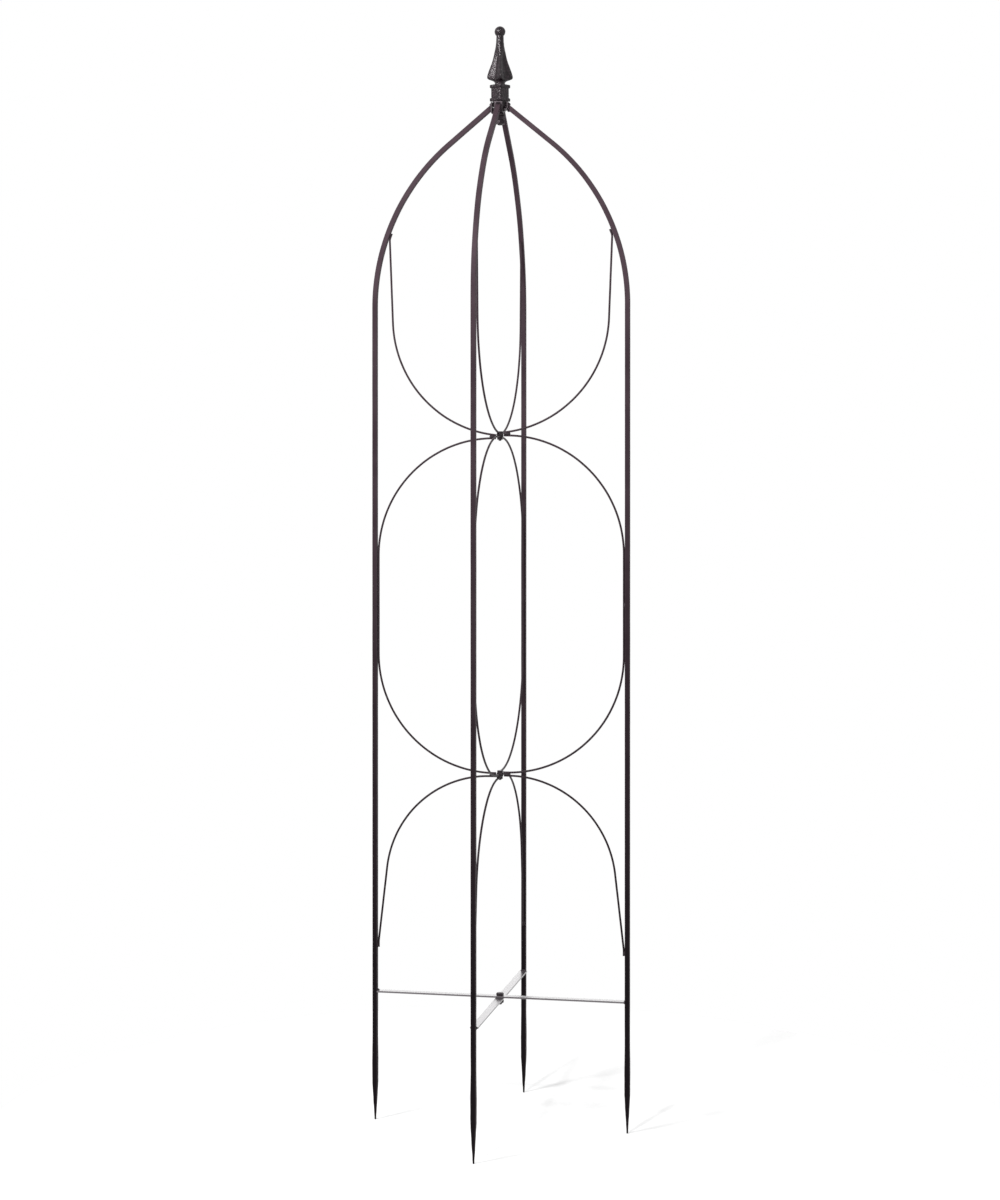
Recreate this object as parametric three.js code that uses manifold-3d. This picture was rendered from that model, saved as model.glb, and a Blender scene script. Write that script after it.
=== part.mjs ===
// Garden obelisk: two crossed wrought-iron frames under a cast finial.
// Millimetres, +Z up, origin on the ground plane at the middle of the four stake tips.
// The right leg stands on +X, the front leg on -Y.

import * as THREE from 'three';
import { mergeVertices } from 'three/addons/utils/BufferGeometryUtils.js';
import Module from 'manifold-3d';

const wasm = await Module();
wasm.setup();

// ---------------------------------------------------------------- driving dimensions

const GAP = 0.3;                    // clearance between pieces that touch or are welded
const TOTAL_HEIGHT = 2134;          // 84 in, stake tips to the top of the finial ball

const BAR = 9.525;                  // 3/8 in square leg bar
const BAR_CORNER = 0.9;             // small worn chamfer along its corners
const LEG_RADIUS = 249.5;           // centre axis to the centre line of an upright leg
const SPRING_Z = 1592.5;            // where the arch starts to curve
const ARCH_RADIUS = 408;
const ARCH_TURN = radians(50.5);
const ARCH_STEPS = 14;

const STAKE_TIP_SIZE = 0.3;         // section sizes along the forged stake, as shares of BAR
const STAKE_SHOULDER_Z = 74;
const STAKE_SHOULDER_SIZE = 1.08;
const STAKE_SWELL_Z = 115;
const STAKE_SWELL_SIZE = 1.12;
const STAKE_TOP_Z = 165;

const WIRE_RADIUS = 2;              // 5/32 in round wire
const WIRE_SIDES = 8;
const BOW_RADIUS = 229;             // 9 in bending former of the upper and middle wires
const BOW_STEPS = 14;
const UPPER_WIRE_LEAD = 3;
const UPPER_WIRE_RISE = radians(6.6);
const UPPER_WIRE_LEAN = radians(2.2);
const UPPER_WIRE_BEND = 16;
const UPPER_WIRE_LAP = 9;
const LOWER_WIRE_LEAD = 11;
const LOWER_WIRE_RADIUS = 208;
const LOWER_WIRE_LEAN = radians(6.6);
const LOWER_WIRE_BEND = 40;
const LOWER_WIRE_LAP = 9;

const UPPER_KNOT_Z = 1342;          // middle of the tab stack where upper and middle wires meet
const LOWER_KNOT_Z = 684;           // the same for middle and lower wires
const KNOT_TAB = { thickness: 1.5, eye: 6.5, hole: 3.3, width: 9, reach: 21 };
const WIRE_START = 8;               // distance from the axis to the wire ends on their tabs

const CROWN_TAB = { thickness: 2.5, width: 16, hole: 5.3, reach: 17, top: 1987 };
const CROWN_STACK_Z = 1963;         // underside of the lowest crown tab
const CROWN_STACK_TOP = CROWN_STACK_Z + 4 * (CROWN_TAB.thickness + GAP);

const BRACE = { width: 16, thickness: 3.2, z: 247.4, hole: 4.3 };

const M6 = { radius: 3, flats: 10, head: 4, nut: 5, tail: 2 };
const BRACE_BOLT = { radius: 4, flats: 12.7, head: 5.3, nut: 6.8, tail: 3 };
const M10 = { radius: 4.9, flats: 17, nut: 8, lockNut: 7.4, washer: 2.2, washerRadius: 10.5, tail: 2 };

const FINIAL = {
  height: 113.5,                    // collar top to ball top
  ball: 10.6,
  neck: 7,
  flare: 24.8,                      // axis to the tip of a lobe
  foot: 10,
  lobeDepth: 0.46,
  turn: radians(-76),               // direction of the lobe that faces the front
  spigot: 13.8,
  spigotEnd: 9,                     // the spigot tapers to this where it meets the crown tabs
  spigotTaper: 5,
  boreDepth: 23,
};
const COLLAR = { body: 12.7, flange: 14.75, flangeHeight: 6.4, height: 32.2 };
const FINIAL_SEGMENTS = 32;

// Legs in the order in which their tabs lie on each bolt, lowest first.
const DIRECTIONS = { right: 0, back: 90, left: 180, front: 270 };
const CROWN_ORDER = ['left', 'front', 'back', 'right'];
const UPPER_KNOT_ORDER = ['left', 'back', 'front', 'right'];
const LOWER_KNOT_ORDER = ['front', 'left', 'right', 'back'];

function radians(degrees) {
  return THREE.MathUtils.degToRad(degrees);
}

// ---------------------------------------------------------------- materials

function paintedSteel(colour, roughness) {
  return () => new THREE.MeshStandardMaterial({ color: colour, roughness, metalness: 0.35 });
}

const barPaint = paintedSteel(0x3a3134, 0.5);
const wirePaint = paintedSteel(0x352e30, 0.5);
const bracePaint = paintedSteel(0x3c3437, 0.45);
const hardwarePaint = paintedSteel(0x262224, 0.42);
const castPaint = paintedSteel(0x2b2829, 0.62);

// ---------------------------------------------------------------- bent bars and wires

/** Centre line of a bent bar in the XZ plane: x is the distance from the axis, z the height. */
class BentLine extends THREE.Curve {
  constructor(x, z, heading, size = 1) {
    super();
    this.stations = [{ x, z, heading, size, mitre: 0 }];
  }

  get end() {
    return this.stations.at(-1);
  }

  get steps() {
    return this.stations.length - 1;
  }

  /** A straight stretch, whose section changes evenly to the given size. */
  line(length, size = 1) {
    const { x, z, heading } = this.end;
    this.stations.push({
      x: x + length * Math.cos(heading),
      z: z + length * Math.sin(heading),
      heading,
      size,
      mitre: 0,
    });
    return this;
  }

  /** A round bend: a positive turn is counter-clockwise in the XZ plane. */
  arc(radius, turn, steps) {
    const { x, z, heading } = this.end;
    const side = Math.sign(turn) * radius;
    for (let step = 1; step <= steps; step += 1) {
      const angle = heading + turn * step / steps;
      this.stations.push({
        x: x + side * (Math.sin(angle) - Math.sin(heading)),
        z: z - side * (Math.cos(angle) - Math.cos(heading)),
        heading: angle,
        size: 1,
        mitre: 0,
      });
    }
    return this;
  }

  /** Cuts the end at a slant instead of square. */
  mitreEnd(angle) {
    this.end.mitre = angle;
    return this;
  }

  getSpacedPoints() {
    return this.stations.map(({ x, z }) => new THREE.Vector3(x, 0, z));
  }

  computeFrenetFrames() {
    const tangents = this.stations.map(
      ({ heading }) => new THREE.Vector3(Math.cos(heading), 0, Math.sin(heading)),
    );
    const normals = this.stations.map(({ heading, size, mitre }, index) =>
      new THREE.Vector3(Math.sin(heading), 0, -Math.cos(heading))
        .addScaledVector(tangents[index], Math.tan(mitre))
        .multiplyScalar(size));
    const binormals = this.stations.map(({ size }) => new THREE.Vector3(0, size, 0));
    return { tangents, normals, binormals };
  }
}

function sweep(section, bentLine) {
  return new THREE.ExtrudeGeometry(section, { steps: bentLine.steps, extrudePath: bentLine });
}

/** A rectangle with chamfered corners, centred on the origin. */
function chamferedSection(width, height, corner) {
  const x = width / 2;
  const y = height / 2;
  return new THREE.Shape([
    new THREE.Vector2(x, corner - y),
    new THREE.Vector2(x, y - corner),
    new THREE.Vector2(x - corner, y),
    new THREE.Vector2(corner - x, y),
    new THREE.Vector2(-x, y - corner),
    new THREE.Vector2(-x, corner - y),
    new THREE.Vector2(corner - x, -y),
    new THREE.Vector2(x - corner, -y),
  ]);
}

/** A regular polygon whose corners lie on the given radius, turned by half a side. */
function polygonPoints(radius, sides) {
  return Array.from({ length: sides }, (_, index) => {
    const angle = (index + 0.5) * 2 * Math.PI / sides;
    return new THREE.Vector2(radius * Math.cos(angle), radius * Math.sin(angle));
  });
}

const barSection = chamferedSection(BAR, BAR, BAR_CORNER);
const wireSection = new THREE.Shape(polygonPoints(WIRE_RADIUS, WIRE_SIDES));

/** An upright leg from its stake tip, over the arch, to the crown tab. */
function legGeometry() {
  const line = new BentLine(LEG_RADIUS, 0, Math.PI / 2, STAKE_TIP_SIZE)
    .line(STAKE_SHOULDER_Z, STAKE_SHOULDER_SIZE)
    .line(STAKE_SWELL_Z - STAKE_SHOULDER_Z, STAKE_SWELL_SIZE)
    .line(STAKE_TOP_Z - STAKE_SWELL_Z)
    .line(SPRING_Z - STAKE_TOP_Z)
    .arc(ARCH_RADIUS, ARCH_TURN, ARCH_STEPS);
  const slope = Math.PI / 2 - ARCH_TURN;
  const run = line.end.x - CROWN_TAB.reach - GAP;
  line.line(run / Math.cos(slope)).mitreEnd(slope);
  return sweep(barSection, line);
}

/** The upper wire: from its tab, round a bow, and up to lap against the arch. */
function upperWireGeometry(tabTop) {
  const line = new BentLine(WIRE_START, tabTop + WIRE_RADIUS + GAP, UPPER_WIRE_RISE)
    .line(UPPER_WIRE_LEAD)
    .arc(BOW_RADIUS, Math.PI / 2 - UPPER_WIRE_RISE - UPPER_WIRE_LEAN, BOW_STEPS);
  const lapRadius = ARCH_RADIUS - BAR / 2 - WIRE_RADIUS - GAP;
  const along = new THREE.Vector2(Math.cos(line.end.heading), Math.sin(line.end.heading));
  const inwards = new THREE.Vector2(-along.y, along.x);
  const archCentre = new THREE.Vector2(LEG_RADIUS - ARCH_RADIUS, SPRING_Z);
  const fromArch = new THREE.Vector2(line.end.x, line.end.z)
    .addScaledVector(inwards, UPPER_WIRE_BEND)
    .sub(archCentre);
  // The small bend's centre slides along the wire until the bend touches the lap circle.
  const middle = fromArch.dot(along);
  const reach = lapRadius - UPPER_WIRE_BEND;
  const straight = Math.sqrt(middle ** 2 - fromArch.lengthSq() + reach ** 2) - middle;
  const bendCentre = fromArch.addScaledVector(along, straight);
  const bend = Math.atan2(bendCentre.y, bendCentre.x) + UPPER_WIRE_LEAN;
  line.line(straight)
    .arc(UPPER_WIRE_BEND, bend, 3)
    .arc(lapRadius, UPPER_WIRE_LAP / lapRadius, 1);
  return sweep(wireSection, line);
}

/** The middle wire: a half oval from tab to tab, flush with the leg between its two bows. */
function middleWireGeometry(upperTabUnderside, lowerTabTop) {
  const top = upperTabUnderside - WIRE_RADIUS - GAP;
  const bottom = lowerTabTop + WIRE_RADIUS + GAP;
  const lapX = LEG_RADIUS - BAR / 2 - WIRE_RADIUS - GAP;
  const lead = lapX - BOW_RADIUS - WIRE_START;
  const line = new BentLine(WIRE_START, bottom, 0)
    .line(lead)
    .arc(BOW_RADIUS, Math.PI / 2, BOW_STEPS)
    .line(top - bottom - 2 * BOW_RADIUS)
    .arc(BOW_RADIUS, Math.PI / 2, BOW_STEPS)
    .line(lead);
  return sweep(wireSection, line);
}

/** The lower wire: from its tab, round a bow, and down to lap against the leg. */
function lowerWireGeometry(tabUnderside) {
  const lapX = LEG_RADIUS - BAR / 2 - WIRE_RADIUS - GAP;
  const line = new BentLine(WIRE_START, tabUnderside - WIRE_RADIUS - GAP, 0)
    .line(LOWER_WIRE_LEAD)
    .arc(LOWER_WIRE_RADIUS, LOWER_WIRE_LEAN - Math.PI / 2, BOW_STEPS);
  const bendRun = LOWER_WIRE_BEND * (1 - Math.cos(LOWER_WIRE_LEAN));
  const straight = (lapX - line.end.x - bendRun) / Math.sin(LOWER_WIRE_LEAN);
  line.line(straight)
    .arc(LOWER_WIRE_BEND, -LOWER_WIRE_LEAN, 2)
    .line(LOWER_WIRE_LAP);
  return sweep(wireSection, line);
}

// ---------------------------------------------------------------- joining and cutting

function toSolid(geometry) {
  const bare = geometry.clone();
  bare.deleteAttribute('normal');
  bare.deleteAttribute('uv');
  const merged = mergeVertices(bare);
  return new wasm.Manifold(new wasm.Mesh({
    numProp: 3,
    vertProperties: merged.attributes.position.array,
    triVerts: new Uint32Array(merged.index.array),
  }));
}

function toGeometry(solid) {
  const mesh = solid.getMesh();
  const geometry = new THREE.BufferGeometry();
  geometry.setAttribute('position', new THREE.BufferAttribute(mesh.vertProperties, 3));
  geometry.setIndex(new THREE.BufferAttribute(mesh.triVerts, 1));
  return geometry;
}

function join(first, second) {
  return toGeometry(toSolid(first).add(toSolid(second)));
}

function cut(body, tool) {
  return toGeometry(toSolid(body).subtract(toSolid(tool)));
}

/** An upright cylinder or prism from one height to another. */
function upright(radius, fromZ, toZ, sides = 16) {
  return new THREE.CylinderGeometry(radius, radius, toZ - fromZ, sides)
    .rotateX(Math.PI / 2)
    .translate(0, 0, (fromZ + toZ) / 2);
}

function plate(shape, thickness, underside) {
  return new THREE.ExtrudeGeometry(shape, { depth: thickness, bevelEnabled: false, curveSegments: 10 })
    .translate(0, 0, underside);
}

function roundHole(radius) {
  return new THREE.Path().absarc(0, 0, radius, 0, 2 * Math.PI, true);
}

// ---------------------------------------------------------------- tabs and brace bars

/** A flat tab with an eye on the axis and a strip that carries the wire ends. */
function knotTabGeometry(underside) {
  const { thickness, eye, hole, width, reach } = KNOT_TAB;
  const shoulder = Math.asin(width / 2 / eye);
  const shape = new THREE.Shape()
    .absarc(0, 0, eye, shoulder, 2 * Math.PI - shoulder, false)
    .absarc(reach - width / 2, 0, width / 2, -Math.PI / 2, Math.PI / 2, false);
  shape.closePath();
  shape.holes.push(roundHole(hole));
  return plate(shape, thickness, underside);
}

/** An angled tab: an eye on the axis and an upturned flange that the leg is welded to. */
function crownTabGeometry(underside) {
  const { thickness, width, hole, reach, top } = CROWN_TAB;
  const eyeShape = new THREE.Shape()
    .moveTo(reach, width / 2)
    .absarc(0, 0, width / 2, Math.PI / 2, 1.5 * Math.PI, false)
    .lineTo(reach, -width / 2);
  eyeShape.closePath();
  eyeShape.holes.push(roundHole(hole));
  const flange = new THREE.BoxGeometry(thickness, width, top - underside)
    .translate(reach - thickness / 2, 0, (top + underside) / 2);
  return join(plate(eyeShape, thickness, underside), flange);
}

/** A flat bar from leg to leg, with a bolt hole in the middle. */
function braceBarGeometry(underside) {
  const { width, thickness, hole } = BRACE;
  const shape = chamferedSection(2 * (LEG_RADIUS - BAR / 2 - GAP), width, BAR_CORNER);
  shape.holes.push(roundHole(hole));
  return plate(shape, thickness, underside);
}

// ---------------------------------------------------------------- fasteners

function hexRadius(flats) {
  return flats / Math.sqrt(3);
}

/** A hex bolt hanging head-up, with its head's underside and its lower end at given heights. */
function boltGeometry(size, seat, end) {
  const head = upright(hexRadius(size.flats), seat, seat + size.head, 6);
  return join(head, upright(size.radius, end, seat + size.head / 2));
}

function nutGeometry(size, underside, height) {
  const shape = new THREE.Shape(polygonPoints(hexRadius(size.flats), 6));
  shape.holes.push(roundHole(size.radius + GAP));
  return plate(shape, height, underside);
}

function washerGeometry(size, underside) {
  const shape = new THREE.Shape().absarc(0, 0, size.washerRadius, 0, 2 * Math.PI, false);
  shape.holes.push(roundHole(size.radius + GAP));
  return plate(shape, size.washer, underside);
}

// ---------------------------------------------------------------- finial

/** The radius of a square with rounded corners, by direction from a corner. */
function squareRadius(halfWidth, angle) {
  const corner = Math.abs(Math.cos(angle - Math.PI / 4)) ** 8 + Math.abs(Math.sin(angle - Math.PI / 4)) ** 8;
  return halfWidth * corner ** (-1 / 8);
}

/** The share of a lobed section's radius that is left between two lobes, by height. */
function lobeShare(height, angle) {
  const grown = THREE.MathUtils.smoothstep(height, 3, 13);
  const faded = 1 - THREE.MathUtils.smoothstep(height, 42, 86);
  const valley = (1 - Math.cos(4 * angle)) / 2;
  return 1 - FINIAL.lobeDepth * grown * faded * Math.sqrt(valley);
}

/** Heights above the collar and radii along a lobe, from the foot to the top of the ball. */
function finialOutline() {
  const { height, ball, neck, flare, foot } = FINIAL;
  const ballCentre = height - ball;
  const ballStart = Math.asin(neck / ball);
  const flareCurve = new THREE.SplineCurve([
    new THREE.Vector2(foot, 3.6),
    new THREE.Vector2(12.6, 6.6),
    new THREE.Vector2(flare - 2.6, 10.4),
    new THREE.Vector2(flare, 14.2),
    new THREE.Vector2(flare - 1.8, 23),
    new THREE.Vector2(14.5, 46.8),
    new THREE.Vector2(8.4, 75),
    new THREE.Vector2(neck, ballCentre - ball * Math.cos(ballStart)),
  ]);
  const ballArc = new THREE.Path()
    .absarc(0, ballCentre, ball, ballStart - Math.PI / 2, Math.PI / 2, false);
  return [new THREE.Vector2(foot, 0), ...flareCurve.getPoints(22), ...ballArc.getPoints(10).slice(1)];
}

/** One casting: spigot, square collar, four-lobed flare, neck and ball, with a blind bore. */
function finialGeometry(collarTop) {
  const { body, flange, flangeHeight, height } = COLLAR;
  const edge = 1.2;
  const spigotEnd = CROWN_STACK_TOP - collarTop;
  const collarRings = [
    [flange - edge, -height],
    [flange, edge - height],
    [flange, flangeHeight - edge - height],
    [flange - edge, flangeHeight - height],
    [body, flangeHeight - height],
    [body, -flangeHeight],
    [flange - edge, -flangeHeight],
    [flange, edge - flangeHeight],
    [flange, -edge],
    [flange - edge, 0],
  ];
  const outline = [
    new THREE.Vector2(0, spigotEnd),
    new THREE.Vector2(FINIAL.spigotEnd, spigotEnd),
    new THREE.Vector2(FINIAL.spigot, spigotEnd + FINIAL.spigotTaper),
    new THREE.Vector2(FINIAL.spigot, -height),
    ...collarRings.map(([halfWidth, z]) => new THREE.Vector2(halfWidth, z)),
    ...finialOutline(),
  ];
  outline.at(-1).x = 0;
  const casting = new THREE.LatheGeometry(outline, FINIAL_SEGMENTS).rotateX(Math.PI / 2);
  const position = casting.attributes.position;
  const firstSquare = 4;
  const lastSquare = firstSquare + collarRings.length - 1;
  for (let index = 0; index < position.count; index += 1) {
    const ring = index % outline.length;
    const angle = Math.floor(index / outline.length) * 2 * Math.PI / FINIAL_SEGMENTS;
    const isSquare = ring >= firstSquare && ring <= lastSquare;
    const radius = isSquare
      ? squareRadius(outline[ring].x, angle)
      : outline[ring].x * lobeShare(outline[ring].y, angle);
    position.setXYZ(index, radius * Math.cos(angle), radius * Math.sin(angle), outline[ring].y);
  }
  const bore = upright(M10.radius + GAP, spigotEnd - 1, spigotEnd + FINIAL.boreDepth);
  return cut(casting, bore).rotateZ(FINIAL.turn).translate(0, 0, collarTop);
}

// ---------------------------------------------------------------- assembly

const obelisk = new THREE.Group();

function add(name, geometry, makeMaterial, direction = 0) {
  const mesh = new THREE.Mesh(geometry, makeMaterial());
  mesh.name = name;
  mesh.rotation.z = radians(direction);
  obelisk.add(mesh);
}

/** Height of a tab's underside in a stack that is centred on, or starts at, a given height. */
function stackLevel(order, side, thickness, base) {
  return base + order.indexOf(side) * (thickness + GAP);
}

const knotStack = 4 * KNOT_TAB.thickness + 3 * GAP;
const upperKnotBase = UPPER_KNOT_Z - knotStack / 2;
const lowerKnotBase = LOWER_KNOT_Z - knotStack / 2;

for (const [side, direction] of Object.entries(DIRECTIONS)) {
  const crownLevel = stackLevel(CROWN_ORDER, side, CROWN_TAB.thickness, CROWN_STACK_Z);
  const upperLevel = stackLevel(UPPER_KNOT_ORDER, side, KNOT_TAB.thickness, upperKnotBase);
  const lowerLevel = stackLevel(LOWER_KNOT_ORDER, side, KNOT_TAB.thickness, lowerKnotBase);
  const upperTop = upperLevel + KNOT_TAB.thickness;
  const lowerTop = lowerLevel + KNOT_TAB.thickness;
  add(`leg_${side}`, legGeometry(), barPaint, direction);
  add(`crown_tab_${side}`, crownTabGeometry(crownLevel), hardwarePaint, direction);
  add(`upper_wire_${side}`, upperWireGeometry(upperTop), wirePaint, direction);
  add(`middle_wire_${side}`, middleWireGeometry(upperLevel, lowerTop), wirePaint, direction);
  add(`lower_wire_${side}`, lowerWireGeometry(lowerLevel), wirePaint, direction);
  add(`upper_knot_tab_${side}`, knotTabGeometry(upperLevel), hardwarePaint, direction);
  add(`lower_knot_tab_${side}`, knotTabGeometry(lowerLevel), hardwarePaint, direction);
}

/** A bolt down through a stack, and the nut below it. */
function addBolt(name, size, stackBottom, stackTop) {
  const nutTop = stackBottom - GAP;
  const end = nutTop - size.nut - size.tail;
  add(`${name}_bolt`, boltGeometry(size, stackTop + GAP, end), hardwarePaint);
  add(`${name}_nut`, nutGeometry(size, nutTop - size.nut, size.nut), hardwarePaint);
}

addBolt('upper_knot', M6, upperKnotBase, upperKnotBase + knotStack);
addBolt('lower_knot', M6, lowerKnotBase, lowerKnotBase + knotStack);

const sideBarZ = BRACE.z + BRACE.thickness + GAP;
add('brace_bar_front_back', braceBarGeometry(BRACE.z), bracePaint, DIRECTIONS.back);
add('brace_bar_left_right', braceBarGeometry(sideBarZ), bracePaint);
addBolt('brace', BRACE_BOLT, BRACE.z, sideBarZ + BRACE.thickness);

const washerZ = CROWN_STACK_Z - GAP - M10.washer;
const nutZ = washerZ - GAP - M10.nut;
const lockNutZ = nutZ - GAP - M10.lockNut;
const collarTop = TOTAL_HEIGHT - FINIAL.height;
add('finial', finialGeometry(collarTop), castPaint);
const studTop = CROWN_STACK_TOP + FINIAL.boreDepth - 2;
add('finial_stud', upright(M10.radius, lockNutZ - M10.tail, studTop), hardwarePaint);
add('crown_washer', washerGeometry(M10, washerZ), hardwarePaint);
add('crown_nut', nutGeometry(M10, nutZ, M10.nut), hardwarePaint, 12);
add('crown_lock_nut', nutGeometry(M10, lockNutZ, M10.lockNut), hardwarePaint, 40);

export default obelisk;
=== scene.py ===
import math

import bpy
from mathutils import Matrix, Vector, noise


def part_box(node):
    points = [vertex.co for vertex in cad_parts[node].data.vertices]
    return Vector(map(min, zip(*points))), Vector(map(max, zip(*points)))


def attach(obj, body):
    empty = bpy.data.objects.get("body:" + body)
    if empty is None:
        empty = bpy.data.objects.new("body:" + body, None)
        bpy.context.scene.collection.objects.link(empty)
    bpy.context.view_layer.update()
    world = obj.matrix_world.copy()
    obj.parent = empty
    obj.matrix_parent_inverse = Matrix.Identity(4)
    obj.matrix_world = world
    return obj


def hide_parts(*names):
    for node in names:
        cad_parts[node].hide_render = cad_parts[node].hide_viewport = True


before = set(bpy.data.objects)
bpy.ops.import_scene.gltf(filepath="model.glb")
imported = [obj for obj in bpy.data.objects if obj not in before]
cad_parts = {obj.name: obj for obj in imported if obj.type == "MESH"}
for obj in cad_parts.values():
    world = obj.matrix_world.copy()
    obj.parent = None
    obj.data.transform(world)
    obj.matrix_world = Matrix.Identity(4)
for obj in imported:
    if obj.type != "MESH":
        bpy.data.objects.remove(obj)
# Without a seed, noise_vector takes its offsets from the clock, and every run differs.
noise.seed_set(1)
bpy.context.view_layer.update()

# ------------------------------------------------------------------ driving sizes, in metres

MM = 0.001
GAP = 0.3 * MM  # the CAD leaves this much between welded pieces
# Direction of each leg from the axis, in degrees.
SIDES = {"right": 0.0, "back": 90.0, "left": 180.0, "front": 270.0}

BAR = 9.525 * MM
BAR_FILLET = 0.9 * MM
ARCH_RADIUS = 408 * MM
ARCH_TURN = math.radians(50.5)
CROWN_SLOPE = math.pi / 2 - ARCH_TURN
# The forged stake from its tip up: the bar's size at the tip, then (length, size at its end).
STAKE_TIP = 0.3
STAKE = [(74 * MM, 1.08), (41 * MM, 1.12), (50 * MM, 1.0)]

WIRE_RADIUS = 2 * MM
WIRE_START = 8 * MM
BOW_RADIUS = 229 * MM
UPPER_LEAD = 3 * MM
UPPER_RISE = math.radians(6.6)
UPPER_LEAN = math.radians(2.2)
UPPER_BEND = 16 * MM
UPPER_LAP = 9 * MM
LOWER_LEAD = 11 * MM
LOWER_RADIUS = 208 * MM
LOWER_LEAN = math.radians(6.6)
LOWER_BEND = 40 * MM
LOWER_LAP = 9 * MM

KNOT_EYE = 6.5 * MM
KNOT_WIDTH = 9 * MM
KNOT_HOLE = 3.3 * MM
CROWN_HOLE = 5.3 * MM
CROWN_BEND = 3 * MM
CROWN_THICKNESS = 2.5 * MM
BRACE_HOLE = 0.0043
STUD_HOLE = 5.2 * MM

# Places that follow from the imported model.
leg_inner_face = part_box("brace_bar_left_right")[1].x + GAP
leg_radius = leg_inner_face + BAR / 2
lap_x = leg_inner_face - WIRE_RADIUS - GAP
leg_end_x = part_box("crown_tab_right")[1].x + GAP
arch_end_x = leg_radius - ARCH_RADIUS * (1 - math.cos(ARCH_TURN))
crown_run = arch_end_x - leg_end_x
leg_end_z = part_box("leg_right")[1].z - BAR / 2 / math.cos(CROWN_SLOPE)
spring_z = leg_end_z - crown_run * math.tan(CROWN_SLOPE) - ARCH_RADIUS * math.sin(ARCH_TURN)


# ------------------------------------------------------------------ mesh tools

CREASE_ANGLE = math.radians(35)


def new_piece(name, vertices, faces, material, replaced=None, wear=None):
    """Makes a smooth-shaded mesh piece that rides on the one body."""
    mesh = bpy.data.meshes.new(name)
    mesh.from_pydata([tuple(v) for v in vertices], [], faces)
    mesh.validate()
    if wear is not None:
        layer = mesh.attributes.new("wear", "FLOAT", "POINT")
        layer.data.foreach_set("value", wear)
    mesh.polygons.foreach_set("use_smooth", [True] * len(mesh.polygons))
    mesh.update()
    mesh.set_sharp_from_angle(angle=CREASE_ANGLE)
    piece = bpy.data.objects.new(name, mesh)
    bpy.context.collection.objects.link(piece)
    piece.data.materials.append(material)
    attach(piece, "root")
    if replaced:
        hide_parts(replaced)
    return piece


def turned_to(side):
    """The rotation from the XZ plane to the radial plane of a leg."""
    return Matrix.Rotation(math.radians(SIDES[side]), 3, "Z")


def ring_faces(rings, ring_size, closed):
    """Quads between rings of vertices, with the last ring joined to the first if closed."""
    faces = []
    for i in range(rings if closed else rings - 1):
        first, second = i * ring_size, (i + 1) % rings * ring_size
        for j in range(ring_size):
            k = (j + 1) % ring_size
            faces.append((first + j, first + k, second + k, second + j))
    return faces


class BentLine:
    """Centre line of a bent bar in the XZ plane, as stations (x, z, heading, size)."""

    def __init__(self, x, z, heading, size=1.0):
        self.stations = [(x, z, heading, size)]

    def line(self, length, step=0.012, size=None):
        x, z, heading, size_before = self.stations[-1]
        size_after = size_before if size is None else size
        count = max(1, round(length / step))
        for i in range(1, count + 1):
            part = i / count
            self.stations.append((
                x + length * part * math.cos(heading),
                z + length * part * math.sin(heading),
                heading,
                size_before + (size_after - size_before) * part,
            ))
        return self

    def arc(self, radius, turn, step=0.006):
        x, z, heading, size = self.stations[-1]
        reach = math.copysign(radius, turn)
        count = max(2, round(radius * abs(turn) / step))
        for i in range(1, count + 1):
            angle = heading + turn * i / count
            self.stations.append((
                x + reach * (math.sin(angle) - math.sin(heading)),
                z - reach * (math.cos(angle) - math.cos(heading)),
                angle,
                size,
            ))
        return self


def sweep(stations, section, round_end=0.0004, mitre=0.0):
    """Vertices and faces of a section carried along stations, with eased edges at both ends."""
    rings = []
    for index, (x, z, heading, size) in enumerate(stations):
        at_last = index == len(stations) - 1
        is_end = at_last or index == 0
        skew = math.tan(mitre) if at_last else 0.0
        across = Vector((math.sin(heading), 0, -math.cos(heading)))
        along = Vector((math.cos(heading), 0, math.sin(heading)))
        across = across + along * skew
        centre = Vector((x, 0, z))
        insets = [(round_end, 0.0), (round_end * 0.3, round_end * 0.3), (0.0, round_end)]
        steps = [(0.0, 0.0)]
        if is_end:
            steps = insets[::-1] if at_last else insets
        for inset, shift in steps:
            shrink = size * (1 - 2 * inset / BAR) if inset else size
            direction = -1 if at_last else 1
            middle = centre + along * shift * direction
            ring = [middle + across * (u * shrink) + Vector((0, v * shrink, 0)) for u, v in section]
            rings.append(ring)
    vertices = [v for ring in rings for v in ring]
    size = len(section)
    faces = ring_faces(len(rings), size, closed=False)
    faces.append(tuple(range(size))[::-1])
    start = len(vertices) - size
    faces.append(tuple(range(start, start + size)))
    return vertices, faces, len(rings)


def rounded_rectangle(width, height, fillet, corner_steps=4, face_points=(0.9, 0.45)):
    """Section points (u, v) and how much each lies on a corner, counter-clockwise."""
    points, corner = [], []
    half_u, half_v = width / 2 - fillet, height / 2 - fillet
    for quarter in range(4):
        start = quarter * math.pi / 2
        cu = half_u * (1 if quarter in (0, 3) else -1)
        cv = half_v * (1 if quarter in (0, 1) else -1)
        for step in range(corner_steps + 1):
            angle = start + step / corner_steps * math.pi / 2
            points.append((cu + fillet * math.cos(angle), cv + fillet * math.sin(angle)))
            corner.append(1.0)
        fractions = [*face_points, 0.0, *(-f for f in reversed(face_points))]
        for share in fractions:
            if quarter == 0:
                points.append((share * half_u, height / 2))
            elif quarter == 1:
                points.append((-width / 2, share * half_v))
            elif quarter == 2:
                points.append((-share * half_u, -height / 2))
            else:
                points.append((width / 2, -share * half_v))
            corner.append(0.0)
    return points, corner


def circle(radius, count):
    return [
        (radius * math.cos(2 * math.pi * i / count), radius * math.sin(2 * math.pi * i / count))
        for i in range(count)
    ]


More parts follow.
